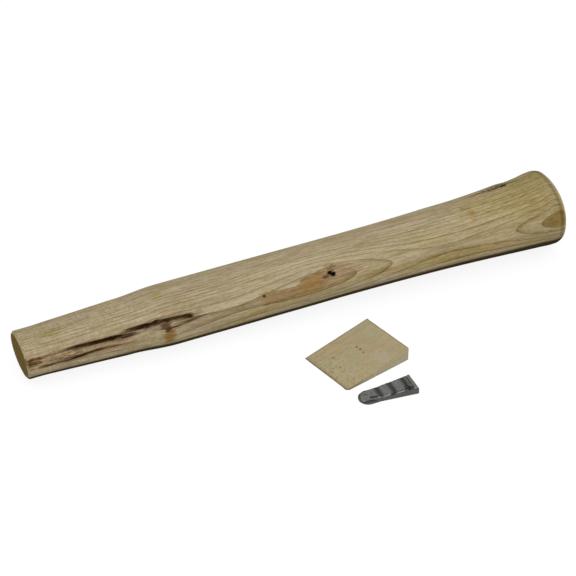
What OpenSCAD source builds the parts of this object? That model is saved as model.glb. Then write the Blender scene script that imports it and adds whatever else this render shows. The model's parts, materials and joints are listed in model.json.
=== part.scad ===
// A short maul handle with its two fixing wedges, lying apart on a flat surface.
// The handle lies along X with its eye end towards -X, and the wedges lie beside it, towards -Y.
// The origin is on the surface, under the middle of the box that holds all three pieces.

/* [Handle] */
// Length of the handle along its own axis, from the eye end to the butt
handle_l = 356; // [290:1:460]
// Length of the tapered tenon that goes into the eye of a head
tenon_l = 62; // [45:1:80]
// Length over which the tenon swells up to the crest of the shoulder
shoulder_l = 30; // [20:1:45]
// Distance from the waist of the grip to the butt
waist_to_butt = 170; // [120:1:210]
// Length at the butt where the rim is rounded over
rim_l = 4.4; // [2:0.2:10]
// How far the rounded rim cuts in from the sides
rim_in = 2; // [1:0.2:5]
// Small bevel round the free end of the tenon
tenon_bevel = 0.8; // [0.3:0.1:1.5]

/* [Handle widths, along the long way of the oval] */
// Width of the tenon at its free end
tenon_end_w = 35.8; // [29:0.2:43]
// Width of the tenon at its root
tenon_root_w = 41.4; // [34:0.2:50]
// Width at the crest of the shoulder
crest_w = 45.4; // [37:0.2:55]
// Width at the waist of the grip
waist_w = 43.6; // [36:0.2:53]
// Width of the butt where its rim starts to round
butt_w = 53.8; // [44:0.2:65]
// How far the butt leans towards +Y, so that one side flares more than the other
butt_lean = 1.8; // [0:0.1:4]

/* [Handle heights, along the short way of the oval] */
// Height of the tenon at its free end
tenon_end_h = 23; // [19:0.2:28]
// Height of the tenon at its root
tenon_root_h = 28.2; // [23:0.2:34]
// Height at the crest of the shoulder
crest_h = 31.8; // [26:0.2:39]
// Height at the waist of the grip
waist_h = 33.8; // [28:0.2:41]
// Height of the butt where its rim starts to round
butt_h = 46.4; // [40:0.2:56]

/* [Wooden wedge] */
// Length of the wooden wedge from its thin edge to its thick end
wood_l = 49; // [40:0.5:60]
// How much wider the wooden wedge is than the free end of the tenon
wood_spare_w = 3.5; // [0:0.5:6]
// Thickness of the wooden wedge at its thin edge
wood_thin = 0.6; // [0.4:0.1:1.5]
// Thickness of the wooden wedge at its thick end
wood_thick = 7.4; // [5:0.2:10]
// Length cut off the two corners on the near side of the wooden wedge
wood_clip = 1.6; // [0.5:0.1:4]
// Turn of the wooden wedge from the line of the handle, in degrees
wood_turn = 15; // [0:1:25]
// Distance along X from the eye end to the middle of the thin edge
wood_x = 163.5; // [80:1:220]
// Clear width between the handle and the wooden wedge
wood_gap = 15.5; // [6:0.5:30]

/* [Steel wedge] */
// Length of the steel wedge from its rounded tip to its thick end
steel_l = 35.2; // [28:0.5:44]
// Width of the steel wedge at its thick end
steel_w = 14.2; // [12:0.2:20]
// Width of the rounded tip
steel_tip_w = 11.4; // [8:0.2:12]
// Width of the slight neck behind the rounded tip
steel_neck_w = 10.8; // [7:0.2:11.8]
// Distance of the neck from the tip
steel_neck_x = 11.7; // [9:0.1:14]
// Thickness of the flange at the tip
steel_thin = 1.4; // [1:0.1:2]
// Thickness of the flange at the thick end
steel_thick = 3.8; // [3:0.1:6]
// Width of the flange left round the raised pads
steel_flange = 0.9; // [0.6:0.1:1.6]
// Height of each pad over the flange at its low end
steel_pad_low = 0.2; // [0.1:0.05:0.4]
// Height of each pad over the flange at its high end, which bites into the wood
steel_pad_high = 0.9; // [0.5:0.1:1.4]
// Length of the first pad's span, from the tip to the first groove
steel_tip_l = 11.6; // [10.4:0.2:15]
// Width of the groove behind each pad
steel_groove = 1.8; // [0.6:0.1:2.2]
// Width of each of the two ridges on the bar at the thick end
steel_ridge = 1.7; // [0.8:0.1:2]
// Turn of the steel wedge from the line of the handle, in degrees
steel_turn = -1.5; // [-8:1:8]
// Distance along X from the eye end to the tip
steel_x = 170.8; // [90:0.5:230]
// Clear width between the two wedges
steel_gap = 4.8; // [2:0.5:20]

/* [Hidden] */

// Places along the handle's own axis
crest_x = tenon_l + shoulder_l;
waist_x = handle_l - waist_to_butt;
rim_x = handle_l - rim_l;

// The flare towards the butt follows a power of the way there, and the butt's lean a steeper one
flare_power = 2.5;
lean_power = 8;

// The power of the squared oval: 2 is an ellipse, and more is squarer
squareness = 2.15;

// How finely the handle is faceted: the sides of its oval, and the steps of each stretch
handle_sides = 48;
tenon_steps = 6;
shoulder_steps = 8;
grip_steps = 9;
flare_steps = 16;
rim_steps = 5;
stations = concat(
    [0, tenon_bevel],
    [for (i = [1:tenon_steps]) mix(0, tenon_l, i / tenon_steps)],
    [for (i = [1:shoulder_steps]) mix(tenon_l, crest_x, i / shoulder_steps)],
    [for (i = [1:grip_steps]) mix(crest_x, waist_x, i / grip_steps)],
    [for (i = [1:flare_steps]) mix(waist_x, rim_x, i / flare_steps)],
    [for (i = [1:rim_steps]) rim_x + rim_l * sin(90 * i / rim_steps)]
);

function mix(a, b, t) = a + (b - a) * t;
function ease(t) = t * t * (3 - 2 * t);
function flare(x, power) = pow(max(0, min(x, rim_x) - waist_x) / (rim_x - waist_x), power);

// A size of the oval at x, from its sizes at the tip, root, crest, waist and butt
function along(x, tip, root, crest, waist, butt) =
    x < tenon_l ? mix(tip, root, x / tenon_l)
    : x < crest_x ? mix(root, crest, ease((x - tenon_l) / shoulder_l))
    : x < waist_x ? mix(crest, waist, ease((x - crest_x) / (waist_x - crest_x)))
    : mix(waist, butt, flare(x, flare_power));

// How far the bevelled end and the rounded rim cut in at x
function cut_in(x) =
    x < tenon_bevel ? tenon_bevel - x
    : x > rim_x ? rim_in * (1 - sqrt(max(0, 1 - pow((x - rim_x) / rim_l, 2))))
    : 0;
function half_w(x) = along(x, tenon_end_w, tenon_root_w, crest_w, waist_w, butt_w) / 2 - cut_in(x);
function half_h(x) = along(x, tenon_end_h, tenon_root_h, crest_h, waist_h, butt_h) / 2 - cut_in(x);
function lean(x) = butt_lean * flare(x, lean_power);

// One point of a slightly squared oval, at x along the handle and at an angle round it
function signed_pow(v, p) = sign(v) * pow(abs(v), p);
function oval_point(x, angle) = [
    x,
    lean(x) + half_w(x) * signed_pow(cos(angle), 2 / squareness),
    half_h(x) * signed_pow(sin(angle), 2 / squareness)
];

// The handle rests on the rim of its butt and on the lowest place of its shoulder,
// so its axis rises a little towards the butt
rest_slope = min([for (x = stations) if (x < waist_x) (half_h(rim_x) - half_h(x)) / (rim_x - x)]);
rest_tilt = atan(rest_slope);
axis_lift = half_h(rim_x) * cos(rest_tilt) - rim_x * sin(rest_tilt);

// Where the wooden wedge's thin edge lies: its highest corner clears the handle by wood_gap
wood_w = tenon_end_w + wood_spare_w;
wood_y = -butt_w / 2 - wood_gap - wood_l * sin(wood_turn) - wood_w / 2 * cos(wood_turn);
wood_near_y = wood_y - wood_w / 2 * cos(wood_turn);

// Where the steel wedge's tip lies: the tip's far side clears the wooden wedge by steel_gap
steel_tip_r = steel_tip_w / 2;
steel_y = wood_near_y - steel_gap - steel_tip_r;
steel_near_y = min(
    steel_y - steel_tip_r,
    steel_y + steel_l * sin(steel_turn) - steel_w / 2 * cos(steel_turn)
);

// Where the steel wedge's end bar starts, and the pitch of the two pads between it and the tip
steel_ridge_gap = 0.5;
steel_bar_x = steel_l - steel_flange - 2 * steel_ridge - steel_ridge_gap;
steel_pitch = (steel_bar_x - steel_groove - steel_tip_l) / 2;

// Height of the steel wedge's flange at x
function flange_top(x) = mix(steel_thin, steel_thick, x / steel_l);

// How far an outline that cuts another shape runs past it
spare = 1;

// The middle of the box that holds the three pieces
mid_x = (handle_l * cos(rest_tilt) + (half_h(handle_l) - half_h(0)) * sin(rest_tilt)) / 2;
mid_y = (butt_w / 2 + butt_lean + steel_near_y) / 2;

// The handle, lofted through ovals and laid down on its butt and its shoulder
module handle() {
    count = len(stations);
    points = [
        for (x = stations)
            for (side = [0:handle_sides - 1]) oval_point(x, 360 * side / handle_sides)
    ];
    skin = [
        for (ring = [0:count - 2])
            for (side = [0:handle_sides - 1])
                let (
                    next = (side + 1) % handle_sides,
                    here = ring * handle_sides,
                    there = here + handle_sides
                )
                each [
                    [here + side, there + side, there + next],
                    [here + side, there + next, here + next]
                ]
    ];
    tenon_face = [[for (side = [0:handle_sides - 1]) side]];
    butt_face = [[for (side = [handle_sides - 1:-1:0]) (count - 1) * handle_sides + side]];
    color("burlywood")
    translate([-mid_x, -mid_y, axis_lift])
    rotate([0, -rest_tilt, 0])
    polyhedron(points = points, faces = concat(skin, tenon_face, butt_face));
}

// A plan (first child) and a side outline (second child), each drawn out through the other
module trimmed_by_plan(width, height) {
    intersection() {
        translate([0, 0, -spare]) linear_extrude(height + 2 * spare) children(0);
        rotate([90, 0, 0]) linear_extrude(width + 2 * spare, center = true) children(1);
    }
}

// The wooden wedge: a side outline drawn out to its width, with its near corners cut off
module wooden_wedge() {
    side_view = [[0, 0], [wood_l, 0], [wood_l, wood_thick], [0, wood_thin]];
    plan_view = [
        [0, wood_w / 2],
        [0, wood_clip - wood_w / 2],
        [wood_clip, -wood_w / 2],
        [wood_l - wood_clip, -wood_w / 2],
        [wood_l, wood_clip - wood_w / 2],
        [wood_l, wood_w / 2]
    ];
    color("tan")
    translate([wood_x - mid_x, wood_y - mid_y, 0])
    rotate(wood_turn)
    trimmed_by_plan(wood_w, wood_thick) {
        polygon(plan_view);
        polygon(side_view);
    }
}

// Plan of the steel wedge, drawn in by a margin all round
module steel_plan(margin) {
    translate([steel_tip_r, 0]) circle(steel_tip_r - margin, $fn = 64);
    half_plan = [
        [steel_tip_r, steel_tip_r - margin],
        [steel_neck_x, steel_neck_w / 2 - margin],
        [steel_l - margin, steel_w / 2 - margin]
    ];
    near_half = [for (i = [2:-1:0]) [half_plan[i][0], -half_plan[i][1]]];
    polygon(concat(half_plan, near_half));
}

// Side outline of one raised stretch of the steel wedge, between two places along it
module raised(from, to, low, high) {
    polygon([
        [from, flange_top(from) / 2],
        [to, flange_top(to) / 2],
        [to, flange_top(to) + high],
        [from, flange_top(from) + low]
    ]);
}

// The three barbed pads, which rise towards the thick end, and the two ridges of the end bar
module steel_pads() {
    raised(0, steel_tip_l, steel_pad_low, steel_pad_high);
    for (pad = [0:1]) {
        from = steel_tip_l + pad * steel_pitch;
        raised(from + steel_groove, from + steel_pitch, steel_pad_low, steel_pad_high);
    }
    for (ridge = [0:1]) {
        from = steel_bar_x + ridge * (steel_ridge + steel_ridge_gap);
        raised(from, from + steel_ridge, steel_pad_high, steel_pad_high);
    }
}

// The steel wedge: a tapered flange with barbed pads on its upper side
module steel_wedge() {
    top = steel_thick + steel_pad_high;
    color("dimgray")
    translate([steel_x - mid_x, steel_y - mid_y, 0])
    rotate(steel_turn) {
        trimmed_by_plan(steel_w, top) {
            steel_plan(0);
            polygon([[0, 0], [steel_l, 0], [steel_l, flange_top(steel_l)], [0, flange_top(0)]]);
        }
        trimmed_by_plan(steel_w, top) {
            steel_plan(steel_flange);
            steel_pads();
        }
    }
}

handle();
wooden_wedge();
steel_wedge();
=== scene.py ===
"""The looks of a short maul handle with a wooden and a steel wedge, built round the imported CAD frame."""
import json
import math

import bmesh
import bpy
import numpy as np
from mathutils import Matrix, Vector, noise


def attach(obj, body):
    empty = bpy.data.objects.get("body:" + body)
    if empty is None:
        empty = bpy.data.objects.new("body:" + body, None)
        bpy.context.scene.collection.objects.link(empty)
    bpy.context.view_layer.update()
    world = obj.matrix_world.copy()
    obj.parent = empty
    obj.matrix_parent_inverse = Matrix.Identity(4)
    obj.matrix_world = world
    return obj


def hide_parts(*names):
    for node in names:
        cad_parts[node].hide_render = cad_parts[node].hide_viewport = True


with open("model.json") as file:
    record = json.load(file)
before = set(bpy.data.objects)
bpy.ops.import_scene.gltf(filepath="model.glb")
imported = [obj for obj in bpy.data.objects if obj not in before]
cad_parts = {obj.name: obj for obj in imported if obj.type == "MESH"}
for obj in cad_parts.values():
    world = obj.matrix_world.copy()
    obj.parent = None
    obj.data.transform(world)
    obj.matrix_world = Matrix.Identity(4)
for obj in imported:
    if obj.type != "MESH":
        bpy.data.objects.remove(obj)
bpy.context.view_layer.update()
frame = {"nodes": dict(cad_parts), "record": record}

MM = 0.001
PLAIN_WOOD = (160, 146, 116)     # plain wood's middle colour, which each stain is worked out from

# Every piece is made in its own frame, in mm, with x along its grain. Its mesh then moves into the
# frame of the CAD, and keeps its own places in the attribute "grain" for its material.


# ---------------------------------------------------------------- small tools

def srgb(red, green, blue):
    """A colour written as 0 to 255, as the linear RGBA that a node takes."""
    def linear(value):
        value /= 255
        return value / 12.92 if value <= 0.04045 else ((value + 0.055) / 1.055) ** 2.4
    return (linear(red), linear(green), linear(blue), 1.0)


def blend(low, high, x):
    """0 below low and 1 above high, with a smooth step between, for numpy arrays."""
    t = np.clip((x - low) / (high - low), 0, 1)
    return t * t * (3 - 2 * t)


def noise_at(points, size, seed=0):
    """Perlin noise from about -1 to 1 at each point; size is the grain in mm along each axis."""
    scaled = points / np.array(size, float) + seed * 17.3
    return np.array([noise.noise(Vector(p)) for p in scaled])


def mesh_points(mesh):
    points = np.empty(len(mesh.vertices) * 3)
    mesh.vertices.foreach_get("co", points)
    return points.reshape(-1, 3)


def mesh_normals(mesh):
    normals = np.empty(len(mesh.vertices) * 3)
    mesh.vertex_normals.foreach_get("vector", normals)
    return normals.reshape(-1, 3)


def keep_values(mesh, name, values):
    """Stores one number for each vertex, for a material to read."""
    layer = mesh.attributes.new(name, "FLOAT", "POINT")
    layer.data.foreach_set("value", np.asarray(values, np.float32))


def add_piece(name, mesh, place, material, body, grain=None):
    """Puts a mesh made in its own frame in mm where place says, to stand for the CAD node of its body."""
    layer = mesh.attributes.new("grain", "FLOAT_VECTOR", "POINT")
    grain = mesh_points(mesh) if grain is None else grain
    layer.data.foreach_set("vector", grain.astype(np.float32).ravel())
    mesh.transform(place @ Matrix.Scale(MM, 4))
    mesh.polygons.foreach_set("use_smooth", [True] * len(mesh.polygons))
    mesh.materials.clear()
    mesh.materials.append(material)
    piece = bpy.data.objects.new(name, mesh)
    bpy.context.scene.collection.objects.link(piece)
    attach(piece, body)
    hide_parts(body)


# ---------------------------------------------------------------- material graphs

class Value:
    """A number made by nodes. It takes plain arithmetic."""

    def __init__(self, graph, socket):
        self.graph = graph
        self.socket = socket

    def __add__(self, other):
        return self.graph.math("ADD", self, other)

    def __radd__(self, other):
        return self.graph.math("ADD", other, self)

    def __sub__(self, other):
        return self.graph.math("SUBTRACT", self, other)

    def __rsub__(self, other):
        return self.graph.math("SUBTRACT", other, self)

    def __mul__(self, other):
        return self.graph.math("MULTIPLY", self, other)

    def __truediv__(self, other):
        return self.graph.math("DIVIDE", self, other)

    def __abs__(self):
        return self.graph.math("ABSOLUTE", self)


class Graph:
    """The nodes of one material."""

    def __init__(self, name):
        self.material = bpy.data.materials.new(name)
        self.material.use_nodes = True
        self.tree = self.material.node_tree
        self.tree.nodes.clear()

    def put(self, socket, value):
        if isinstance(value, Value):
            value = value.socket
        if isinstance(value, bpy.types.NodeSocket):
            self.tree.links.new(value, socket)
        else:
            socket.default_value = value

    def node(self, kind, inputs=None, **settings):
        made = self.tree.nodes.new(kind)
        for name, value in settings.items():
            setattr(made, name, value)
        for name, value in (inputs or {}).items():
            self.put(made.inputs[name], value)
        return made

    def math(self, operation, *values):
        made = self.node("ShaderNodeMath", operation=operation)
        for socket, value in zip(made.inputs, values):
            self.put(socket, value)
        return Value(self, made.outputs[0])

    def hypot(self, a, b):
        return self.math("SQRT", a * a + b * b)

    def most(self, a, b):
        return self.math("MAXIMUM", a, b)

    def vector(self, x, y, z):
        return self.node("ShaderNodeCombineXYZ", {"X": x, "Y": y, "Z": z}).outputs[0]

    def grain(self):
        """Places in the piece's own frame, in mm: along the grain, across it and up."""
        place = self.node("ShaderNodeAttribute", attribute_name="grain")
        parts = self.node("ShaderNodeSeparateXYZ", {"Vector": place.outputs["Vector"]})
        return [Value(self, out) for out in parts.outputs]

    def kept(self, name):
        """A number that the mesh stores for each vertex."""
        return Value(self, self.node("ShaderNodeAttribute", attribute_name=name).outputs["Fac"])

    def step(self, value, low, high):
        """0 below low and 1 above high, smooth between. low may be above high."""
        made = self.node("ShaderNodeMapRange", interpolation_type="SMOOTHSTEP")
        for name, given in (("Value", value), ("From Min", low), ("From Max", high)):
            self.put(made.inputs[name], given)
        return Value(self, made.outputs[0])

    def noise(self, x, y, z, detail=2.0, roughness=0.5):
        """Noise from -1 to 1, mostly within 0.4 of 0, with a grain of about one unit."""
        made = self.node("ShaderNodeTexNoise", {"Vector": self.vector(x, y, z), "Scale": 1.0,
                                               "Detail": detail, "Roughness": roughness})
        return Value(self, made.outputs["Fac"]) * 2 - 1

    def mix(self, amount, first, second):
        """A colour between two others."""
        made = self.node("ShaderNodeMix", data_type="RGBA", clamp_factor=True)
        self.put(made.inputs[0], amount)
        self.put(made.inputs[6], first)
        self.put(made.inputs[7], second)
        return made.outputs[2]

    def stain(self, amount, colour, red, green, blue):
        """A colour tinted by what would turn plain wood into the given one, so its grain stays."""
        factor = [wanted / plain for wanted, plain in zip(srgb(red, green, blue), srgb(*PLAIN_WOOD))]
        made = self.node("ShaderNodeMix", data_type="RGBA", blend_type="MULTIPLY", clamp_factor=True)
        self.put(made.inputs[0], amount)
        self.put(made.inputs[6], colour)
        self.put(made.inputs[7], factor)
        return made.outputs[2]

    def hidden(self, distance, least, most):
        """How much of the sky is hidden by things within the distance, in metres.

        0 up to the least share, and 1 from the most share on.
        """
        near = self.node("ShaderNodeAmbientOcclusion", {"Distance": distance}, samples=8)
        return self.step(1 - Value(self, near.outputs["AO"]), least, most)

    def facing_down(self, least, most):
        """0 where a surface faces down by less than the least share, and 1 by more than the most."""
        normal = self.node("ShaderNodeNewGeometry").outputs["Normal"]
        parts = self.node("ShaderNodeSeparateXYZ", {"Vector": normal})
        return self.step(Value(self, parts.outputs["Z"]) * -1, least, most)

    def path(self, along, points, scales):
        """Three values that follow rows of (place along, value, value, value), straight between rows."""
        ramp = self.node("ShaderNodeValToRGB")
        first, last = points[0][0], points[-1][0]
        stops = ramp.color_ramp.elements
        for _ in points[2:]:
            stops.new(0.5)
        for stop, row in zip(stops, points):
            stop.position = (row[0] - first) / (last - first)
        for stop, row in zip(stops, points):
            stop.color = [value / scale for value, scale in zip(row[1:], scales)] + [1]
        self.put(ramp.inputs[0], (along - first) / (last - first))
        parts = self.node("ShaderNodeSeparateColor", {"Color": ramp.outputs["Color"]})
        inside = self.step(along, first - 0.5, first + 0.5) * self.step(along, last + 0.5, last - 0.5)
        values = [Value(self, out) * scale for out, scale in zip(parts.outputs, scales)]
        return values[0], values[1], values[2] * inside

    def finish(self, colour, roughness, specular, height, depth):
        """The shader and the output. height runs from 0 to 1, and depth is what that is worth in metres."""
        bump = self.node("ShaderNodeBump", {"Strength": 1.0, "Distance": depth, "Height": height})
        shader = self.node("ShaderNodeBsdfPrincipled", {"Base Color": colour, "Roughness": roughness,
                                                       "Normal": bump.outputs[0]})
        shader.inputs["Specular IOR Level"].default_value = specular
        self.node("ShaderNodeOutputMaterial", {"Surface": shader.outputs[0]})
        return shader


# ---------------------------------------------------------------- the handle's marks
# Places on the handle are mm along it from the eye end, and degrees round its axis:
# 0 is the far side, 90 the top and 180 the side that faces the wedges.

MM_PER_DEGREE = 0.36
SCALES = (360, 10, 1)

# Rows of (along, angle, half width in mm, strength)
UPPER_STREAK = [
    (0, 158, 0.4, 0.3), (20, 156, 0.5, 0.5), (30, 155, 0.8, 0.9), (42, 156, 1.2, 1), (54, 158, 1.3, 1),
    (62, 160, 1.0, 0.9), (68, 160, 0.6, 0.4), (73, 159, 0.4, 0.1),
]
STREAK_HEAD = [
    (56, 155, 0.4, 0.2), (62, 152, 0.8, 0.8), (70, 151, 1.1, 1), (80, 150.5, 1.0, 1), (90, 151, 1.0, 1),
    (97, 153, 0.9, 1), (101, 154, 0.8, 1), (103, 154, 0.6, 0.4), (109, 153, 0.4, 0.1),
]
SECOND_LINE = [
    (84, 166, 0.4, 0.4), (90, 165, 0.5, 0.8), (98, 163, 0.4, 0.7), (105, 161, 0.4, 0.6),
    (111, 160, 0.3, 0.1),
]
LOWER_STREAK = [
    (6, 175, 0.3, 0.4), (11, 175, 0.35, 0.9), (22, 174, 0.4, 0.9), (32, 173, 0.5, 0.95), (43, 171, 0.5, 0.95),
    (49, 171, 0.4, 0.7), (57, 172, 0.3, 0.5), (66, 174, 0.3, 0.25), (73, 175, 0.3, 0.1),
]
STREAKS = [UPPER_STREAK, STREAK_HEAD, SECOND_LINE, LOWER_STREAK]
STREAK_DEPTHS = [0.35, 0.35, 0.2, 0.25]     # mm that each of them is cut in
YELLOW_BAND = [
    (128, 184, 2.4, 0.1), (138, 180, 2.6, 0.8), (166, 178, 2.6, 0.8), (193, 174, 2.4, 0.8),
    (212, 171, 2.6, 0.9), (232, 174, 2.8, 0.9), (275, 178, 3.4, 1), (305, 181, 3.2, 0.8),
    (345, 190, 3.0, 0.4),
]

# Rows of (along, upper angle, lower angle, strength)
HEARTWOOD = [
    (144, 156, 172, 0.0), (148, 150, 173, 0.9), (155, 153, 172, 1), (168, 155, 171, 1), (172, 151, 171, 1),
    (178, 145, 171, 1), (186, 141, 171, 1), (193, 138, 169, 1), (200, 138, 167, 1), (206, 140, 163, 0.9),
    (212, 149, 160, 0.7), (214.5, 156, 158, 0.4),
]

# Rows of (along, angle, length, width, strength, colour): soft oval stains, with half sizes in mm
OVAL_STAINS = [
    (326, 98, 36, 16, 0.7, (154, 138, 92)),         # yellowed wood on top of the butt
    (300, 150, 60, 12, 0.5, (158, 141, 100)),       # and, fainter, on its side
    (86, 92, 4, 5, 0.7, (146, 136, 80)),            # small yellow spots along the top
    (20, 102, 8, 5, 0.7, (143, 131, 84)),
    (291.5, 99, 2.4, 3, 0.7, (134, 119, 70)),
    (295, 112, 2.6, 6, 0.7, (148, 123, 76)),
    (86, 178, 4.2, 5, 0.9, (131, 101, 54)),         # a brown stain below the streaks' head
    (87, 137, 4, 2, 0.4, (158, 130, 92)),           # and a faint one above it
]

# Rows of (along, angle, length, width, depth): smooth hollows in the handle's side, all in mm but the angle
HOLLOWS = [
    (306, 48, 36, 12, 0.5), (342, 46, 18, 12, 1.1),         # a broad hollow on the far side of the butt
    (333, 65, 8, 1.8, 0.4),                                 # the narrow end of the bark pocket
    (193, 151, 2.6, 1.8, 0.7), (193, 151, 7, 5, -0.12),     # the knot hole, and the swelling round it
    (148, 157, 0.9, 0.8, 0.35),                             # the pin knot
]

RING_FACE = 157          # degrees: where the outermost growth ring on the handle faces
PITH = 100               # mm from the handle's axis to the tree's heart
RING_WIDTH = 1.78        # mm
RING_START = 15.45       # mm out from the axis to the ring that counts as number 0
RING_LEAN = 0.025        # mm that the rings shift for each mm along the handle

# Rows of (along, angle, mm of extra wood, length, spread): where the rings swell
RING_SWELLS = [(190, 120, 4.6, 47.5, 1.17), (364, 167.5, 3.2, 38.5, 19.5)]


def polar(points):
    """Degrees round the axis, from 0 to 360, of points in the handle's own frame."""
    return np.degrees(np.arctan2(points[:, 2], points[:, 1])) % 360


def streak_mask(rows, along, angle, soft=0.5):
    """How strongly each point lies in a streak, for numpy arrays."""
    table = np.array(rows, float)
    centre, half, strength = (np.interp(along, table[:, 0], table[:, i]) for i in (1, 2, 3))
    inside = (along >= table[0, 0]) & (along <= table[-1, 0])
    across = np.abs(angle - centre) * MM_PER_DEGREE
    return strength * inside * (1 - blend(half * 0.5, half + soft, across))


def spot(along, angle, place, turn, length, width):
    """1 at the middle of an oval spot, falling to 0 at its rim, for numpy arrays."""
    far = np.hypot((along - place) / length, (angle - turn) * MM_PER_DEGREE / width)
    return 1 - blend(0.4, 1, far)


# ---------------------------------------------------------------- the handle's shape

class Handle:
    """The handle's frame and sections, measured on its CAD node."""

    def __init__(self):
        mount = next(m for m in frame["record"]["mounts"] if m["name"] == "eye_tenon")
        along = -Vector(mount["axis"]).normalized()
        across = Vector((0, 1, 0))
        up = along.cross(across)
        self.place = Matrix((along, across, up)).transposed().to_4x4()
        self.place.translation = Vector(mount["pos_m"])
        inverse = np.array(self.place.inverted())
        world = mesh_points(frame["nodes"]["handle"].data)
        points = (world @ inverse[:3, :3].T + inverse[:3, 3]) / MM
        points = points[np.argsort(points[:, 0])]
        rings = np.split(points, np.nonzero(np.diff(points[:, 0]) > 0.05)[0] + 1)
        self.places = np.array([ring[:, 0].mean() for ring in rings])
        self.widths = np.array([np.ptp(ring[:, 1]) / 2 for ring in rings])
        self.leans = np.array([(ring[:, 1].max() + ring[:, 1].min()) / 2 for ring in rings])
        self.heights = np.array([np.ptp(ring[:, 2]) / 2 for ring in rings])
        self.length = self.places[-1]

    def sample(self, values, along):
        """A cubic through the measured values that never leaves the range between neighbours."""
        i = np.clip(np.searchsorted(self.places, along) - 1, 0, len(self.places) - 2)
        width = self.places[i + 1] - self.places[i]
        t = (along - self.places[i]) / width
        slope = np.gradient(values, self.places)
        cubic = ((2 * t ** 3 - 3 * t ** 2 + 1) * values[i] + (3 * t ** 2 - 2 * t ** 3) * values[i + 1]
                 + (t ** 3 - 2 * t ** 2 + t) * width * slope[i] + (t ** 3 - t ** 2) * width * slope[i + 1])
        return np.clip(cubic, np.minimum(values[i], values[i + 1]), np.maximum(values[i], values[i + 1]))


SQUARENESS = 2.15        # the power of the squared oval, as in the CAD source
SIDES = 240
RING_STEP = 0.72         # mm between rings along the handle
CAP_RINGS = 18           # rings across each end face
CAP_FADE = 1.6           # how fast an end face's relief grows inwards from its rim
CAP_DIMPLE = 0.05        # mm that the middle of each end face is cut in
RIM_SECTIONS = 6         # the CAD's last sections, which round the butt's rim
BEVEL_PLACES = (0, 0.12, 0.4, 0.68, 0.8, 0.95, 1.3)     # mm along: the rings over the eye end's bevel


def handle_profile(handle):
    """Rows of (along, scale): across the eye face, along the handle, and across the butt."""
    cap = np.arange(1, CAP_RINGS) / CAP_RINGS
    rim = handle.places[-RIM_SECTIONS:]
    steps = [np.linspace(a, b, 3)[:-1] for a, b in zip(rim[:-1], rim[1:])]
    middle = np.arange(BEVEL_PLACES[-1] + RING_STEP, rim[0] - RING_STEP / 2, RING_STEP)
    along = np.concatenate([BEVEL_PLACES, middle, *steps, rim[-1:]])
    rows = [(0, t) for t in cap] + [(s, 1) for s in along] + [(handle.length, t) for t in cap[::-1]]
    return np.array(rows, float)


def side_depth(points, angle):
    """How far each point of the handle's side is cut in, in mm: the real relief of its marks."""
    along = points[:, 0]
    depth = 0.06 + 0.06 * noise_at(points, (45, 14, 14), 1)
    depth += 0.02 * (1 + noise_at(points, (2.2, 30, 30), 2)) * blend(60, 95, along)
    fibre = noise_at(points, (9, 0.9, 0.9), 3)
    for rows, deep in zip(STREAKS, STREAK_DEPTHS):
        depth += deep * streak_mask(rows, along, angle) * (1 + 0.8 * fibre)
    torn = blend(-2, 3, along) * (1 - blend(26, 38, along))
    torn *= blend(156, 161, angle) * (1 - blend(171, 176, angle))
    splinters = np.abs(noise_at(points, (6, 0.8, 0.8), 4))
    depth += torn * (0.15 + 1.1 * splinters)
    pocket = spot(along, angle, 321, 62, 11, 4.0) * (1 + 0.35 * noise_at(points, (3, 2, 2), 5))
    rough = 0.5 + 0.5 * noise_at(points, (1.6, 1.1, 1.1), 6)
    depth += np.clip(pocket, 0, 1) * (0.5 + 0.8 * rough)
    for place, turn, length, width, deep in HOLLOWS:
        depth += deep * spot(along, angle, place, turn, length, width)
    return np.maximum(depth, 0)


def cap_depth(points):
    """How far each point of an end face is cut in, in mm: saw marks and open pores."""
    return 0.05 * (1 + noise_at(points, (50, 1.3, 9), 7)) + 0.04 * (1 + noise_at(points, (50, 0.7, 0.7), 8))


def tube_faces(rings, sides):
    """Faces of a closed tube of rings, with a fan at each end round the two points after the last ring."""
    ring = np.arange(rings - 1)[:, None] * sides
    side = np.arange(sides)[None]
    following = (side + 1) % sides
    quads = np.stack([ring + following, ring + sides + following, ring + sides + side, ring + side], 2)
    faces = quads.reshape(-1, 4).tolist()
    last, centre = (rings - 1) * sides, rings * sides
    for i in range(sides):
        j = (i + 1) % sides
        faces.append((centre, j, i))
        faces.append((centre + 1, last + i, last + j))
    return faces


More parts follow.
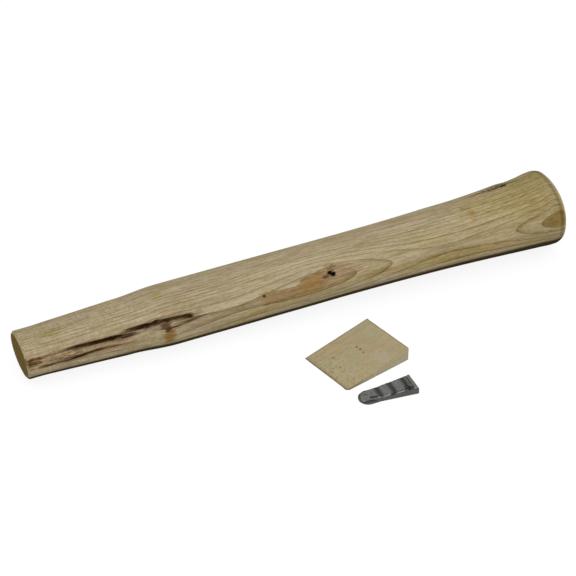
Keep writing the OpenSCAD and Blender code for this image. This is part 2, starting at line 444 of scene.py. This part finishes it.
def build_handle(material):
    handle = Handle()
    profile = handle_profile(handle)
    along, scale = profile[:, 0], profile[:, 1]
    turn = np.arange(SIDES) * 2 * math.pi / SIDES
    round_y = np.sign(np.cos(turn)) * np.abs(np.cos(turn)) ** (2 / SQUARENESS)
    round_z = np.sign(np.sin(turn)) * np.abs(np.sin(turn)) ** (2 / SQUARENESS)
    grid = np.empty((len(profile), SIDES, 3))
    grid[:, :, 0] = along[:, None]
    grid[:, :, 1] = (handle.sample(handle.widths, along) * scale)[:, None] * round_y
    grid[:, :, 2] = (handle.sample(handle.heights, along) * scale)[:, None] * round_z
    inward = -grid
    inward[:, :, 0] = 0
    inward /= np.linalg.norm(inward, axis=2)[:, :, None]
    inward[(scale < 1) & (along == 0)] = (1, 0, 0)
    inward[(scale < 1) & (along > 0)] = (-1, 0, 0)
    flat = grid.reshape(-1, 3)
    cap = np.repeat(scale < 1, SIDES)
    near_edge = np.clip(CAP_FADE * (1 - np.repeat(scale, SIDES)) * CAP_RINGS, 0, 1)
    depth = np.where(cap, cap_depth(flat) * near_edge, side_depth(flat, polar(flat)))
    flat = flat + inward.reshape(-1, 3) * depth[:, None]
    upright = np.vstack([flat, [[CAP_DIMPLE, 0, 0], [handle.length - CAP_DIMPLE, 0, 0]]])
    leaning = upright.copy()
    leaning[:, 1] += handle.sample(handle.leans, upright[:, 0])
    mesh = bpy.data.meshes.new("handle_wood")
    mesh.from_pydata(leaning.tolist(), [], tube_faces(len(profile), SIDES))
    keep_values(mesh, "end_grain", np.append(cap, [1, 1]))
    add_piece("handle_wood", mesh, handle.place, material, "handle", upright)


# ---------------------------------------------------------------- wood

def wood_fibres(g, x, y, z):
    """Streaks along the grain, from about -1 to 1, and short dark pores, from 0 to 1."""
    broad = g.noise(x / 45, y * 0.35, z * 0.35)
    fine = g.noise(x / 13, y * 1.25, z * 1.25, 3.0, 0.65)
    short = g.noise(x / 3, y * 1.1, z * 1.1, 2.0)
    dashes = g.noise(x / 3.5, y * 2.2, z * 2.2, 1.0)
    return broad * 0.8 + fine * 1.4 + short * 0.8, g.step(dashes, 0.2, 0.42)


def ring_colour_amount(g, level):
    """How dark the wood is across growth rings: a thin line where one starts, then a broad fade."""
    phase = g.math("FRACT", level + 100)
    number = g.math("FLOOR", level + 100)
    strength = g.noise(number * 3.7, 1.5, 2.5, 0.0) * 0.8 + 0.85
    thin = g.math("POWER", 1 - phase, 7.0)
    broad = g.math("POWER", 1 - phase, 2.0)
    return (thin * 0.95 + broad * 0.25) * strength * g.step(phase, 0, 0.03)


def handle_rings(g, x, y, z, radius):
    """The number of growth rings between each point and a chosen one, swollen round the knot."""
    ridge = math.radians(RING_FACE)
    inwards = y * math.cos(ridge) + z * math.sin(ridge) + PITH
    aside = y * math.sin(ridge) - z * math.cos(ridge)
    distance = g.hypot(inwards, aside) - PITH - x * RING_LEAN

    def swell(place, turn, size, length, spread):
        """size mm of extra wood round a place on the side, falling off along and round the handle."""
        facing = (y * math.cos(math.radians(turn)) + z * math.sin(math.radians(turn))) / radius
        fall = (x - place) * (x - place) / length ** 2 + (1 - facing) * spread
        return g.math("EXPONENT", fall * -1) * size

    warp = g.noise(x / 60, y / 14, z / 14) * 0.35 + g.noise(x / 14, y / 3, z / 3, 1.0) * 0.12
    for row in RING_SWELLS:
        distance = distance + swell(*row)
    return (distance - RING_START + warp) / RING_WIDTH


# ---------------------------------------------------------------- the handle's colours

UNDERSIDE_SHADE = (0.32, 0.46)     # how far down the wood faces where its painted shade on the underside starts and is full


class HandleGraph(Graph):
    """The handle's nodes, with the values that its colours share."""

    def __init__(self):
        super().__init__("handle_wood")
        self.x, self.y, self.z = self.grain()
        turn = self.math("ARCTAN2", self.z, self.y) * (180 / math.pi)
        self.angle = self.math("WRAP", turn, 360.0, 0.0)
        self.end_face = self.kept("end_grain")
        self.side = 1 - self.end_face
        self.level = handle_rings(self, self.x, self.y, self.z, self.hypot(self.y, self.z))
        self.fibre, self.pores = wood_fibres(self, self.x, self.y, self.z)
        self.rag = self.noise(self.x / 3.5, self.y / 0.8, self.z / 0.8)
        self.threads = self.noise(self.x / 12, self.y * 2.4, self.z * 2.4)
        self.add_heartwood()
        faded = self.oval(80, 172, 18, 6) * 0.85
        self.ring = ring_colour_amount(self, self.level) * (1 - self.heart * 0.6) * (1 - faded)

    def add_heartwood(self):
        """Where the heartwood lies: its upper and lower angle, and how strong it is, with a ragged edge."""
        self.heart_top, self.heart_bottom, strength = self.path(self.x, HEARTWOOD, (360, 360, 1))
        waver = self.noise(self.x / 8, self.y / 2, self.z / 2) * 5
        above = self.step(self.angle + waver, self.heart_top - 1, self.heart_top + 1.5)
        below = self.step(self.angle + waver * 0.3, self.heart_bottom + 1, self.heart_bottom - 1)
        self.heart = above * strength * below

    def oval(self, place, turn, length, width, rough=1.0):
        """1 inside an oval spot with a soft ragged rim, and 0 outside."""
        far = self.hypot((self.x - place) / length, (self.angle - turn) * (MM_PER_DEGREE / width))
        return self.step(far + self.rag * rough, 1.3, 0.5)


def plain_wood(g):
    """Pale wood with growth rings, pores and broad tints, and marks across it towards the eye end."""
    tint = g.noise(g.x / 30 + 40, g.y / 7, g.z / 7)
    patch = g.noise(g.x / 55, g.y / 9, g.z / 9)
    sanded = g.noise(g.x * 1.1, g.y / 5, g.z / 5, 1.0) * g.step(g.x, 110, 60)
    colour = g.mix(g.step(g.fibre, -0.8, 0.8), srgb(149, 134, 103), srgb(184, 170, 141))
    colour = g.mix(g.ring * 0.8, colour, srgb(106, 86, 46))
    colour = g.mix(g.pores * (g.ring * 0.5 + 0.15), colour, srgb(94, 76, 44))
    colour = g.stain(g.step(patch, 0.02, 0.4) * 0.5, colour, 152, 136, 100)
    colour = g.stain(g.step(tint, 0.02, 0.45) * 0.6, colour, 156, 145, 106)
    colour = g.stain(g.step(tint, -0.02, -0.45) * 0.5, colour, 166, 147, 122)
    colour = g.stain(g.step(sanded, 0.05, 0.4) * 0.4, colour, 176, 162, 132)
    return g.stain(g.step(sanded, -0.05, -0.4) * 0.4, colour, 142, 125, 92)


def yellow_stains(g, colour):
    """The yellow band along the side, outside the heartwood, and the oval stains."""
    centre, half, strength = g.path(g.x, YELLOW_BAND, SCALES)
    across = abs(g.angle - centre) * MM_PER_DEGREE + g.fibre
    band = g.step(across, half + 1.5, half - 1.5) * strength * (1 - g.heart * 0.8)
    colour = g.stain(band * 0.8, colour, 154, 136, 90)
    colour = g.stain(band * g.ring * 0.8, colour, 128, 106, 56)
    for place, turn, length, width, amount, stain in OVAL_STAINS:
        colour = g.stain(g.oval(place, turn, length, width) * amount, colour, *stain)
    return colour


def heartwood_stains(g, colour):
    """The heartwood: browner up to the knot, more orange in one place, and darker along both edges."""
    colour = g.stain(g.heart * 0.95, colour, 147, 126, 95)
    colour = g.stain(g.heart * g.step(g.x, 198, 182) * 0.9, colour, 148, 129, 92)
    colour = g.stain(g.heart * g.oval(178, 161, 9, 4.5) * 0.8, colour, 160, 138, 96)
    lower_edge = g.step(g.angle, g.heart_bottom - 3, g.heart_bottom)
    colour = g.stain(g.heart * lower_edge * 0.9, colour, 138, 118, 78)
    upper_edge = g.step(g.angle, g.heart_top + 2.5, g.heart_top)
    return g.stain(g.heart * upper_edge * 0.6, colour, 142, 122, 84)


def stains_at_the_ends(g, colour):
    """The duller butt with a dark triangle between its rings, and the browner side at the eye end."""
    colour = g.stain(g.step(g.x, 310, 336) * 0.9, colour, 150, 136, 102)
    triangle = g.step(g.level, 2.0, 2.35) * g.step(g.x, 328, 335)
    colour = g.stain(triangle * 0.9, colour, 132, 109, 64)
    tanned = g.step(g.angle, 146, 156) * g.step(g.angle, 184, 175) * g.step(g.x, 84, 50) * g.side
    colour = g.stain(tanned * 0.5, colour, 152, 128, 96)
    return g.stain(g.oval(4, 162, 6, 3) * g.side, colour, 100, 74, 42)


def streak_amounts(g):
    """How strong the dark streaks' brown halo is, and the streaks themselves."""
    strands = g.noise(g.x / 22, g.y * 0.8, g.z * 0.8)
    halo = dark = 0.0
    for rows in STREAKS:
        centre, half, strength = g.path(g.x, rows, SCALES)
        across = abs(g.angle - centre + strands * 4) * MM_PER_DEGREE + g.threads * 1.1
        halo = g.most(halo, g.step(across, half + 1.8, half * 0.5) * strength)
        dark = g.most(dark, g.step(across, half + 0.4, half - 0.3) * strength)
    return halo, dark


def dark_streaks(g, colour, halo, dark):
    """The streaks, ragged along the grain, and the torn grain between them at the eye end."""
    colour = g.stain(halo * g.side * 0.9, colour, 102, 76, 46)
    colour = g.stain(g.oval(78, 158.5, 7, 2.4) * 0.9, colour, 130, 111, 91)
    torn = g.step(g.angle, 156, 161) * g.step(g.angle, 178, 173) * g.step(g.x, 40, 28) * g.side
    colour = g.stain(torn * 0.15, colour, 140, 116, 86)
    colour = g.mix(torn * g.step(g.threads, 0.08, 0.26) * 0.75, colour, srgb(66, 44, 24))
    colour = g.mix(torn * g.step(g.threads, -0.1, -0.3) * 0.7, colour, srgb(196, 172, 142))
    colour = g.mix(g.oval(85, 161, 3.6, 3.4) * 0.85, colour, srgb(72, 48, 20))
    core = dark * g.side * g.step(g.threads, 0.36, 0.18)
    return g.mix(core * 0.95, colour, srgb(26, 15, 7))


def knots(g, colour):
    """The black knot hole, with brown wood beside and above it, and the pin knot."""
    colour = g.mix(g.oval(189, 154, 2.4, 1.1) * 0.85, colour, srgb(82, 58, 24))
    colour = g.stain(g.oval(194, 140, 2.2, 2.4, 2.2) * 0.6, colour, 104, 84, 64)
    hole = g.most(g.oval(192.4, 149.2, 2.0, 1.5, 0.6), g.oval(194.0, 152.7, 2.1, 1.6, 0.6))
    colour = g.mix(hole, colour, srgb(16, 8, 5))
    return g.mix(g.oval(148, 157, 1.2, 0.9, 0.4) * 0.9, colour, srgb(56, 36, 20))


def bark_pocket(g, colour, bark):
    """A dark pocket with pale crumbling bark inside, a brown line before it and two near-black cracks."""
    crust = g.noise(g.x / 1.4, g.y, g.z, 3.0, 0.6)
    inside = g.oval(320, 59.5, 7, 2.1, 0.6) * g.step(crust, -0.2, 0.2)
    colour = g.mix(bark * 0.95, colour, g.mix(inside, srgb(28, 19, 11), srgb(152, 138, 114)))
    colour = g.mix(g.oval(308, 64, 5, 0.8) * 0.8, colour, srgb(66, 48, 32))
    cracks = g.most(g.oval(326.5, 70, 2.6, 1.5, 0.5), g.oval(315, 66, 4.5, 0.9, 0.5))
    return g.mix(cracks, colour, srgb(20, 12, 7))


def end_faces(g, colour):
    """Darker end grain with pore dots, the butt's dull band and a painted highlight on its rounded rim, and
    the eye end's pale bevel.
    """
    before_rim = g.step(g.x, 350.5, 352) * g.step(g.x, 354, 353) * g.side
    colour = g.stain(before_rim * 0.6, colour, 120, 108, 80)
    # Painted highlight along the butt's rounded rim.
    colour = g.mix(g.step(g.x, 354, 355) * g.side * 0.5, colour, srgb(184, 178, 160))
    dots = g.noise(g.x / 50, g.y * 0.7, g.z * 0.7, 3.0, 0.7)
    end = g.mix(g.step(dots, -0.45, 0.45), srgb(148, 126, 74), srgb(106, 86, 44))
    end = g.mix(g.ring * 0.9, end, srgb(84, 64, 32))
    end = g.mix(g.step(dots, 0.14, 0.4) * 0.5, end, srgb(70, 54, 28))
    colour = g.mix(g.end_face, colour, end)
    bevel = g.step(abs(g.x - 0.6), 1.0, 0.3) * g.side
    return g.mix(bevel * g.step(g.rag, -0.4, 0.2) * 0.3, colour, srgb(182, 166, 128))


def handle_material():
    g = HandleGraph()
    halo, dark = streak_amounts(g)
    bark = g.most(g.oval(321, 62.5, 10.5, 3.4, 0.6), g.oval(333, 65, 8, 1.0, 0.8))
    colour = plain_wood(g)
    colour = yellow_stains(g, colour)
    colour = heartwood_stains(g, colour)
    colour = stains_at_the_ends(g, colour)
    colour = dark_streaks(g, colour, halo, dark)
    colour = knots(g, colour)
    colour = bark_pocket(g, colour, bark)
    colour = end_faces(g, colour)
    # Painted shade: the wood turns dark where it faces down, as if in the shade of the floor it lies on.
    colour = g.mix(g.facing_down(*UNDERSIDE_SHADE) * 0.95, colour, srgb(58, 46, 25))
    height = g.fibre * 0.3 + 0.5 - g.ring * 0.2 - g.pores * 0.3 - dark * 0.2
    roughness = 0.62 + g.fibre * 0.06 + dark * 0.12 + bark * 0.2
    g.finish(colour, roughness, 0.0, height, 0.0001)
    return g.material


# ---------------------------------------------------------------- the wedges

WEDGE_TIP = 0.6              # mm: how thick the wooden wedge is at its thin end
WOOD_VOXEL = 0.3             # mm, with the rounds of smoothing that follow
WOOD_SMOOTHING = 3
STEEL_VOXEL = 0.17
STEEL_SMOOTHING = 4

def wedge_frame(node):
    """A wedge's own frame: x from its thin end to its thick end, which its highest edge faces, z up."""
    world = mesh_points(frame["nodes"][node].data)
    top = world[world[:, 2] > world[:, 2].max() - 0.00002]
    near, far = top[np.argmin(top[:, 1])], top[np.argmax(top[:, 1])]
    across = (far - near)[:2] / np.linalg.norm((far - near)[:2])
    along = np.array([across[1], -across[0]])
    run, side = world[:, :2] @ along, world[:, :2] @ across
    origin = along * run.min() + across * (side.min() + side.max()) / 2
    place = Matrix(((along[0], across[0], 0), (along[1], across[1], 0), (0, 0, 1))).to_4x4()
    place.translation = (origin[0], origin[1], 0)
    size = np.array([np.ptp(run), np.ptp(side), world[:, 2].max()]) / MM
    return place, size


def softened(node, place, voxel, passes):
    """A fine mesh of a CAD node in its own frame, in mm, with its edges worn round."""
    copy = bpy.data.objects.new("softening", frame["nodes"][node].data.copy())
    bpy.context.scene.collection.objects.link(copy)
    work = bmesh.new()
    work.from_mesh(copy.data)
    bmesh.ops.remove_doubles(work, verts=work.verts, dist=0.000001)
    work.to_mesh(copy.data)
    work.free()
    copy.data.transform(Matrix.Scale(1 / MM, 4) @ place.inverted())
    remesh = copy.modifiers.new("remesh", "REMESH")
    remesh.mode = "VOXEL"
    remesh.voxel_size = voxel
    smooth = copy.modifiers.new("smooth", "SMOOTH")
    smooth.factor = 0.5
    smooth.iterations = passes
    graph = bpy.context.evaluated_depsgraph_get()
    mesh = bpy.data.meshes.new_from_object(copy.evaluated_get(graph))
    bpy.data.objects.remove(copy)
    return mesh


def set_points(mesh, points, size):
    """Writes points back, kept within the CAD piece's own box."""
    low = np.array([0, -size[1] / 2, 0])
    high = np.array([size[0], size[1] / 2, size[2]])
    mesh.vertices.foreach_set("co", np.clip(points, low, high).ravel())
    mesh.update()


def edge_distance(points, size):
    """Mm from each point of the wooden wedge to the nearest edge: its second smallest distance to a face."""
    along, across, up = points.T
    top = np.interp(along, (0, size[0]), (WEDGE_TIP, size[2]))
    gaps = [along, size[0] - along, size[1] / 2 - np.abs(across), up, top - up]
    return np.sort(np.abs(gaps), axis=0)[1]


def build_wooden_wedge(material):
    place, size = wedge_frame("wooden_wedge")
    mesh = softened("wooden_wedge", place, WOOD_VOXEL, WOOD_SMOOTHING)
    points, normals = mesh_points(mesh), mesh_normals(mesh)
    swell = 0.05 * noise_at(points, (16, 7, 7), 11) - 0.04
    swell += 0.03 * noise_at(points, (4, 0.8, 0.8), 12)
    set_points(mesh, points + normals * swell[:, None], size)
    keep_values(mesh, "end_grain", blend(0.75, 0.9, np.abs(normals[:, 0])))
    # Painted light: the side faces are lightened to the tone of the top.
    keep_values(mesh, "side_painted_lighter", blend(0.6, 0.9, np.abs(normals[:, 1])))
    # Darker along the edges, except hardly at all along the near top edge.
    unlined = blend(1, 3, points[:, 2]) * blend(size[1] / 2 - 3, size[1] / 2 - 1, -points[:, 1])
    edge = 1 - blend(0.4, 1.0, edge_distance(points, size))
    keep_values(mesh, "edge", edge * (1 - 0.85 * unlined))
    add_piece("wooden_wedge_wood", mesh, place, material, "wooden_wedge")


# Rows of (along, across, radius, strength): the dark specks on the wooden wedge, in mm from its thin end
SPECKS = [
    (27.9, 4.6, 0.8, 0.65), (28.1, 1.7, 0.9, 0.65), (27.6, -1.6, 0.8, 0.65), (3.7, -1.5, 0.8, 0.5),
    (9.7, -1.5, 0.9, 0.5), (12.1, 7.6, 1.0, 0.45), (5.0, 2.3, 0.6, 0.4), (7.2, 4.4, 0.6, 0.4),
    (14.0, 1.5, 0.6, 0.3),
]


def wooden_wedge_material():
    g = Graph("wedge_wood")
    x, y, z = g.grain()
    fibre, pores = wood_fibres(g, x, y, z)
    ring = ring_colour_amount(g, (z + y * 0.1 + g.noise(x / 30, y / 12, z / 8) * 1.6) / 2.6)
    cloud = g.noise(x / 12 + 9, y / 9, z / 9, 3.0)
    fleck = g.noise(x / 1.8, y / 1.2, z / 1.2)
    colour = g.mix(g.step(fibre, -0.9, 0.9), srgb(158, 144, 110), srgb(170, 157, 126))
    colour = g.mix(ring * 0.12, colour, srgb(132, 114, 78))
    colour = g.stain(g.step(cloud, 0.0, 0.4) * 0.7, colour, 164, 142, 108)
    colour = g.stain(g.step(cloud, -0.02, -0.4) * 0.7, colour, 156, 150, 116)
    mottle = g.step(x, 24, 8) * 0.45 + 0.18
    colour = g.mix(g.step(fleck, 0.12, 0.4) * mottle, colour, srgb(124, 106, 64))
    colour = g.mix(g.step(fleck, -0.12, -0.4) * mottle, colour, srgb(176, 164, 130))
    rag = g.noise(x * 0.9, y * 0.9, z) * 0.6
    for along, across, radius, strength in SPECKS:
        far = g.hypot(x - along, y - across) / radius
        colour = g.mix(g.step(far + rag, 1.4, 0.4) * strength, colour, srgb(84, 64, 34))
    pale = g.hypot((x - 32.5) / 4.5, (y + 12.5) / 5.5)
    colour = g.mix(g.step(pale + rag * 0.3, 1.15, 0.8) * 0.5, colour, srgb(170, 156, 134))
    colour = g.mix(g.kept("end_grain") * 0.4, colour, srgb(146, 128, 92))
    # Painted light on the side faces.
    colour = g.stain(g.kept("side_painted_lighter"), colour, 170, 157, 131)
    colour = g.mix(g.kept("edge") * 0.75, colour, srgb(92, 84, 60))
    g.finish(colour, 0.66 + fibre * 0.05, 0.02, 0.5 + fibre * 0.25 - pores * 0.25, 0.00006)
    return g.material


def convexity(mesh, passes):
    """How far each vertex stands out from its neighbours, smoothed, scaled to about -1 to 1."""
    points, normals = mesh_points(mesh), mesh_normals(mesh)
    ends = np.empty(len(mesh.edges) * 2, int)
    mesh.edges.foreach_get("vertices", ends)
    a, b = ends.reshape(-1, 2).T
    count = np.bincount(a, minlength=len(points)) + np.bincount(b, minlength=len(points))

    def average(values):
        total = np.zeros_like(values)
        np.add.at(total, a, values[b])
        np.add.at(total, b, values[a])
        return total / (count[:, None] if values.ndim == 2 else count)

    out = ((points - average(points)) * normals).sum(1)
    for _ in range(passes):
        out = (out + average(out)) / 2
    return out / (np.abs(out).mean() * 4)


STEEL_OUTLINE = ((5.7, 11.7, 35.2), (5.7, 5.4, 7.1))     # places along and half widths, in mm
GROOVES = (12.5, 20.9, 29.4)                             # mm along: the middle of each groove
GROOVE_HALF = 0.8                                        # mm: half of a groove's width

# Rows of (along, across, along, across, half width in mm, strength): dark scale and rust on the steel, with
# painted shade along its edges
GRIME_AND_SHADE = [
    (2.5, 5.0, 15.5, 5.6, 0.5, 1), (15.5, 5.6, 33.0, 6.6, 0.4, 0.8), (18.6, -5.0, 21.0, -4.7, 0.3, 0.8),
    (27.5, -4.8, 31.4, -5.2, 0.6, 1), (28.5, -2.4, 31.2, -4.6, 0.5, 0.8), (6.8, -2.4, 9.6, -3.4, 1.0, 0.9),
    (2.0, -4.1, 8.6, -5.2, 0.3, 0.9), (24.0, -4.2, 27.5, -4.8, 0.2, 0.6), (3.0, 2.4, 5.4, 1.0, 0.3, 0.5),
]


def steel_rim(points):
    """Mm from each point to the steel wedge's outline seen from above."""
    along, across = points[:, 0], points[:, 1]
    straight = np.interp(along, *STEEL_OUTLINE) - np.abs(across)
    round_end = STEEL_OUTLINE[1][0] - np.hypot(along - STEEL_OUTLINE[0][0], across)
    return np.where(along < STEEL_OUTLINE[0][0], round_end, straight)


def grime_and_shade_amount(points):
    """How much dark scale and painted shade each point carries, from the rows above."""
    amount = np.zeros(len(points))
    wander = 0.4 * noise_at(points, (1.6, 1.4, 1.4), 23)
    for x0, y0, x1, y1, half, strength in GRIME_AND_SHADE:
        start, run = np.array([x0, y0]), np.array([x1 - x0, y1 - y0])
        t = np.clip((points[:, :2] - start) @ run / (run @ run), 0, 1)
        away = np.linalg.norm(points[:, :2] - start - t[:, None] * run, axis=1) + wander
        amount = np.maximum(amount, strength * (1 - blend(half * 0.3, half + 0.9, away)))
    return amount * blend(0.6, 1.2, points[:, 2])


def build_steel_wedge(material):
    place, size = wedge_frame("steel_wedge")
    mesh = softened("steel_wedge", place, STEEL_VOXEL, STEEL_SMOOTHING)
    points, normals = mesh_points(mesh), mesh_normals(mesh)
    grime_and_shade = grime_and_shade_amount(points)
    bulk = 0.06 * noise_at(points, (3.2, 2.4, 2.4), 21) + 0.035 * noise_at(points, (0.9, 0.9, 0.9), 22)
    bulk -= 0.22 * grime_and_shade
    above = blend(0.2, 0.8, points[:, 2])
    set_points(mesh, points + normals * (bulk * above)[:, None], size)
    rim = steel_rim(points)
    groove = np.min([np.abs(points[:, 0] - place_along) for place_along in GROOVES], axis=0)
    keep_values(mesh, "rim", rim)
    # Painted shade: the top darkens near each groove and near the outline; upright faces are left out.
    upright = 1 - blend(0.3, 0.7, normals[:, 2])
    keep_values(mesh, "groove_and_side_shade", np.minimum(rim, groove - GROOVE_HALF) + 2 * upright)
    keep_values(mesh, "worn", convexity(mesh, 3))
    keep_values(mesh, "grime_and_shade", grime_and_shade)
    add_piece("steel_wedge_metal", mesh, place, material, "steel_wedge")


def steel_wedge_material():
    g = Graph("wedge_steel")
    x, y, z = g.grain()
    worn = g.kept("worn")
    grime_and_shade = g.kept("grime_and_shade")
    grain = g.noise(x * 1.8, y * 1.8, z * 1.8, 3.0, 0.65)
    cloud = g.noise(x / 2.5, y / 2, z / 2)
    groove_and_side_shade = g.kept("groove_and_side_shade") + grain * 0.8
    colour = g.mix(g.step(grain, -0.4, 0.4), srgb(84, 84, 80), srgb(122, 123, 117))
    colour = g.mix(g.step(cloud, 0.05, 0.4) * 0.5, colour, srgb(70, 69, 66))
    # Painted shade along the grooves and the outline.
    colour = g.mix(g.step(groove_and_side_shade, 2.0, -0.1) * 0.95, colour, srgb(40, 39, 37))
    # Painted highlight: a light line just inside the outline, on the near side only.
    near_rim_highlight = g.step(abs(g.kept("rim") - 0.95), 0.5, 0.15) * g.step(y, 0, -2)
    colour = g.mix(near_rim_highlight * 0.6, colour, srgb(148, 149, 145))
    colour = g.mix(g.step(worn + grain * 0.3, -0.25, -1.2) * 0.7, colour, srgb(40, 39, 37))
    colour = g.mix(g.step(worn + grain * 0.4, 0.5, 1.6) * 0.5, colour, srgb(158, 159, 154))
    # Scale and rust, with painted shade along the edges.
    colour = g.mix(g.step(grime_and_shade + grain * 0.3, 0.1, 0.9) * 0.9, colour, srgb(30, 29, 27))
    # Painted shade: darker at the outline and down the sides.
    colour = g.mix(g.step(g.kept("rim"), 0.4, 0.1) * 0.6, colour, srgb(52, 51, 49))
    # Painted shade: darker where things within 2 mm hide the sky, in the grooves and next to the floor.
    colour = g.mix(g.hidden(0.002, 0.3, 0.7) * 0.8, colour, srgb(26, 25, 24))
    shader = g.finish(colour, 0.5 + grain * 0.08 + grime_and_shade * 0.15, 0.5, 0.5 + grain * 0.4, 0.00008)
    shader.inputs["Metallic"].default_value = 0.3
    return g.material


# ---------------------------------------------------------------- stage, light and camera

def add_plane(name, size, material):
    mesh = bpy.data.meshes.new(name)
    half = size / 2
    corners = [(-half, -half, 0), (half, -half, 0), (half, half, 0), (-half, half, 0)]
    mesh.from_pydata(corners, [], [(0, 1, 2, 3)])
    mesh.materials.append(material)
    plane = bpy.data.objects.new(name, mesh)
    bpy.context.scene.collection.objects.link(plane)


def seen_directly(g):
    """1 where the camera, a reflection or a transmission looks, and 0 for light that bounces."""
    path = g.node("ShaderNodeLightPath")
    first = g.most(Value(g, path.outputs["Is Camera Ray"]), Value(g, path.outputs["Is Glossy Ray"]))
    return g.most(first, Value(g, path.outputs["Is Transmission Ray"]))


FLOOR_SIZE = 8               # metres
FLOOR_PAPER = 0.18           # the paper's own colour, which keeps the shadow
FLOOR_GLOW = 0.86            # what it glows by where it is looked at
FLOOR_BOUNCE = 0.2           # what it glows by for the things near it


def floor_material():
    """White paper, glowing mostly where it is looked at, which keeps a soft shadow."""
    g = Graph("white_paper")
    paper = g.node("ShaderNodeBsdfDiffuse", {"Color": (FLOOR_PAPER, FLOOR_PAPER, FLOOR_PAPER, 1)})
    strength = seen_directly(g) * (FLOOR_GLOW - FLOOR_BOUNCE) + FLOOR_BOUNCE
    glow = g.node("ShaderNodeEmission", {"Color": (1, 1, 1, 1), "Strength": strength})
    both = g.node("ShaderNodeAddShader", {0: paper.outputs[0], 1: glow.outputs[0]})
    g.node("ShaderNodeOutputMaterial", {"Surface": both.outputs[0]})
    return g.material


WORLD_LIGHT = 0.8            # the world's strength, where the camera doesn't look at it


def set_world():
    world = bpy.data.worlds.new("studio")
    bpy.context.scene.world = world
    world.use_nodes = True
    tree = world.node_tree
    tree.nodes.clear()
    path = tree.nodes.new("ShaderNodeLightPath")
    strength = tree.nodes.new("ShaderNodeMapRange")
    strength.inputs["To Min"].default_value = WORLD_LIGHT
    strength.inputs["To Max"].default_value = 1.0
    back = tree.nodes.new("ShaderNodeBackground")
    back.inputs["Color"].default_value = (1, 1, 1, 1)
    out = tree.nodes.new("ShaderNodeOutputWorld")
    tree.links.new(path.outputs["Is Camera Ray"], strength.inputs["Value"])
    tree.links.new(strength.outputs[0], back.inputs["Strength"])
    tree.links.new(back.outputs[0], out.inputs[0])


LAMP_SIZE = 1.0              # metres
LAMPS = [("front_light", (-0.3, -1.75, 1.05), 12.5), ("top_light", (0.2, -0.6, 1.7), 3.5)]


def add_lamp(name, place, power):
    """A square lamp of so many watts that faces the middle of the object."""
    light = bpy.data.lights.new(name, "AREA")
    light.size = LAMP_SIZE
    light.energy = power
    lamp = bpy.data.objects.new(name, light)
    bpy.context.scene.collection.objects.link(lamp)
    lamp.location = place
    lamp.rotation_mode = "QUATERNION"
    lamp.rotation_quaternion = (-Vector(place)).to_track_quat("-Z", "Y")


CAMERA_AIM = Vector((0.0005, 0.0566, 0))    # the floor point in the middle of the view
CAMERA_DISTANCE = 1.0866
CAMERA_TURN = math.radians(23.85)
CAMERA_RISE = math.radians(35.73)
CAMERA_LENS = 107.8
CAMERA_SENSOR = 36


def add_camera():
    reach = math.cos(CAMERA_RISE)
    back = Vector((-math.sin(CAMERA_TURN) * reach, -math.cos(CAMERA_TURN) * reach, math.sin(CAMERA_RISE)))
    data = bpy.data.cameras.new("camera")
    data.lens = CAMERA_LENS
    data.sensor_width = CAMERA_SENSOR
    data.clip_start = 0.01
    data.clip_end = 50
    camera = bpy.data.objects.new("camera", data)
    bpy.context.scene.collection.objects.link(camera)
    camera.location = CAMERA_AIM + back * CAMERA_DISTANCE
    camera.rotation_mode = "QUATERNION"
    camera.rotation_quaternion = (-back).to_track_quat("-Z", "Y")
    bpy.context.scene.camera = camera


bpy.context.scene.view_settings.view_transform = "Standard"
add_camera()
set_world()
add_plane("floor", FLOOR_SIZE, floor_material())
for lamp_row in LAMPS:
    add_lamp(*lamp_row)

build_handle(handle_material())
build_wooden_wedge(wooden_wedge_material())
build_steel_wedge(steel_wedge_material())
